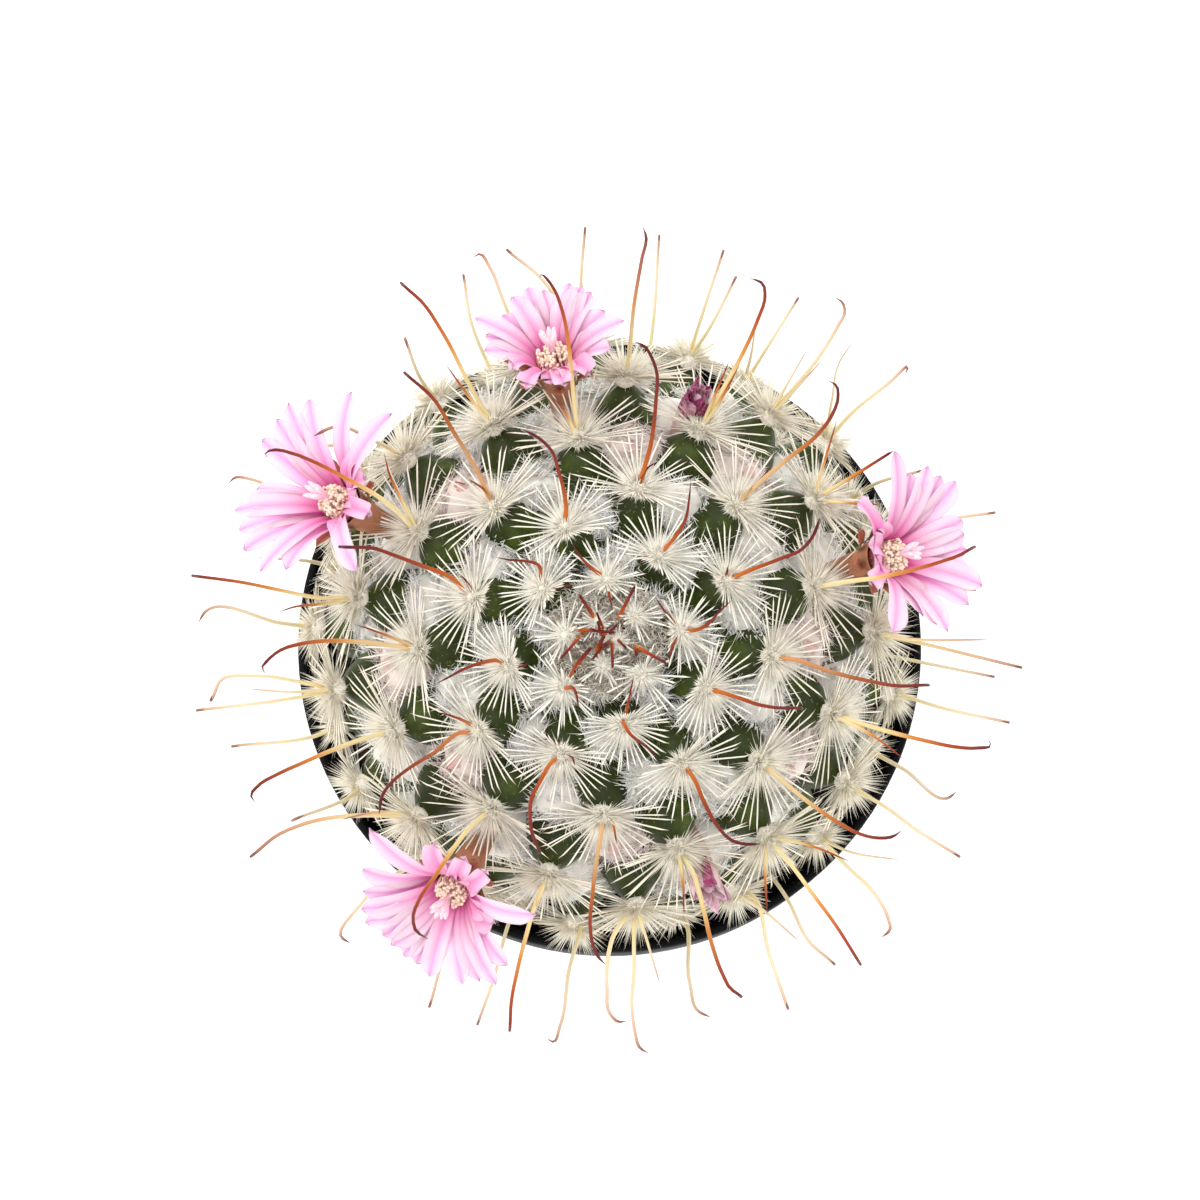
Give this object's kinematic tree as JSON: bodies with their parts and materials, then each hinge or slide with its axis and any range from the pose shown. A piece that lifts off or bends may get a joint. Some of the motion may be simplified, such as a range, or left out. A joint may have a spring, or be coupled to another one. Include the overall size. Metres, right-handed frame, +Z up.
{
  "type": "potted silken pincushion cactus",
  "caption": "Round dome-shaped cactus covered in pale radial spines and long hooked central spines, with pink flowers and buds near its crown, in a round tapered nursery pot.",
  "frame": {"origin": "middle of the pot's flat underside", "axes": "+Z up along the pot's axis, +Y to the back of the plant, which is the top edge of the picture, and +X to its right"},
  "size_m": [0.0785, 0.0795, 0.1114],
  "materials": {
    "pot_plastic": "satin black moulded plastic",
    "potting_mix": "damp crumbly peat mix",
    "stem_skin": "waxy green skin with pale flecks",
    "flower_tube": "smooth brownish pink flesh",
    "petal": "soft translucent pale pink with a magenta midstripe",
    "anther": "powdery orange yellow",
    "stigma": "velvety pale pink",
    "bud": "waxy pale pink and green",
    "faded_flower": "dull crumpled magenta",
    "spine": "smooth horn, yellow at the base and dark red at the hook",
    "radial_spine": "fine ivory bristle with a slight gloss",
    "wool": "soft matted white plant wool"
  },
  "bodies": {
    "root": {"pot": "pot_plastic", "soil": "potting_mix", "stem": "stem_skin", "flower_back_tube": "flower_tube", "flower_back_outer_petals": "petal", "flower_back_inner_petals": "petal", "flower_back_stamens": "anther", "flower_back_style": "stigma", "flower_front_left_tube": "flower_tube", "flower_front_left_outer_petals": "petal", "flower_front_left_inner_petals": "petal", "flower_front_left_stamens": "anther", "flower_front_left_style": "stigma", "flower_right_tube": "flower_tube", "flower_right_outer_petals": "petal", "flower_right_inner_petals": "petal", "flower_right_stamens": "anther", "flower_right_style": "stigma", "flower_left_tube": "flower_tube", "flower_left_outer_petals": "petal", "flower_left_inner_petals": "petal", "flower_left_stamens": "anther", "flower_left_style": "stigma", "bud_1": "bud", "bud_2": "bud", "bud_3": "bud", "bud_4": "bud", "bud_5": "bud", "bud_6": "bud", "bud_7": "bud", "bud_8": "bud", "faded_flower_front": "faded_flower", "faded_flower_back": "faded_flower", "central_spine_15": "spine", "central_spine_17": "spine", "central_spine_20": "spine", "central_spine_21": "spine", "central_spine_22": "spine", "central_spine_23": "spine", "central_spine_24": "spine", "central_spine_25": "spine", "central_spine_26": "spine", "central_spine_27": "spine", "central_spine_28": "spine", "central_spine_29": "spine", "central_spine_30": "spine", "central_spine_31": "spine", "central_spine_32": "spine", "central_spine_33": "spine", "central_spine_34": "spine", "central_spine_35": "spine", "central_spine_36": "spine", "central_spine_37": "spine", "central_spine_38": "spine", "central_spine_39": "spine", "central_spine_40": "spine", "central_spine_41": "spine", "central_spine_45": "spine", "central_spine_46": "spine", "central_spine_47": "spine"}
  },
  "joints": []
}
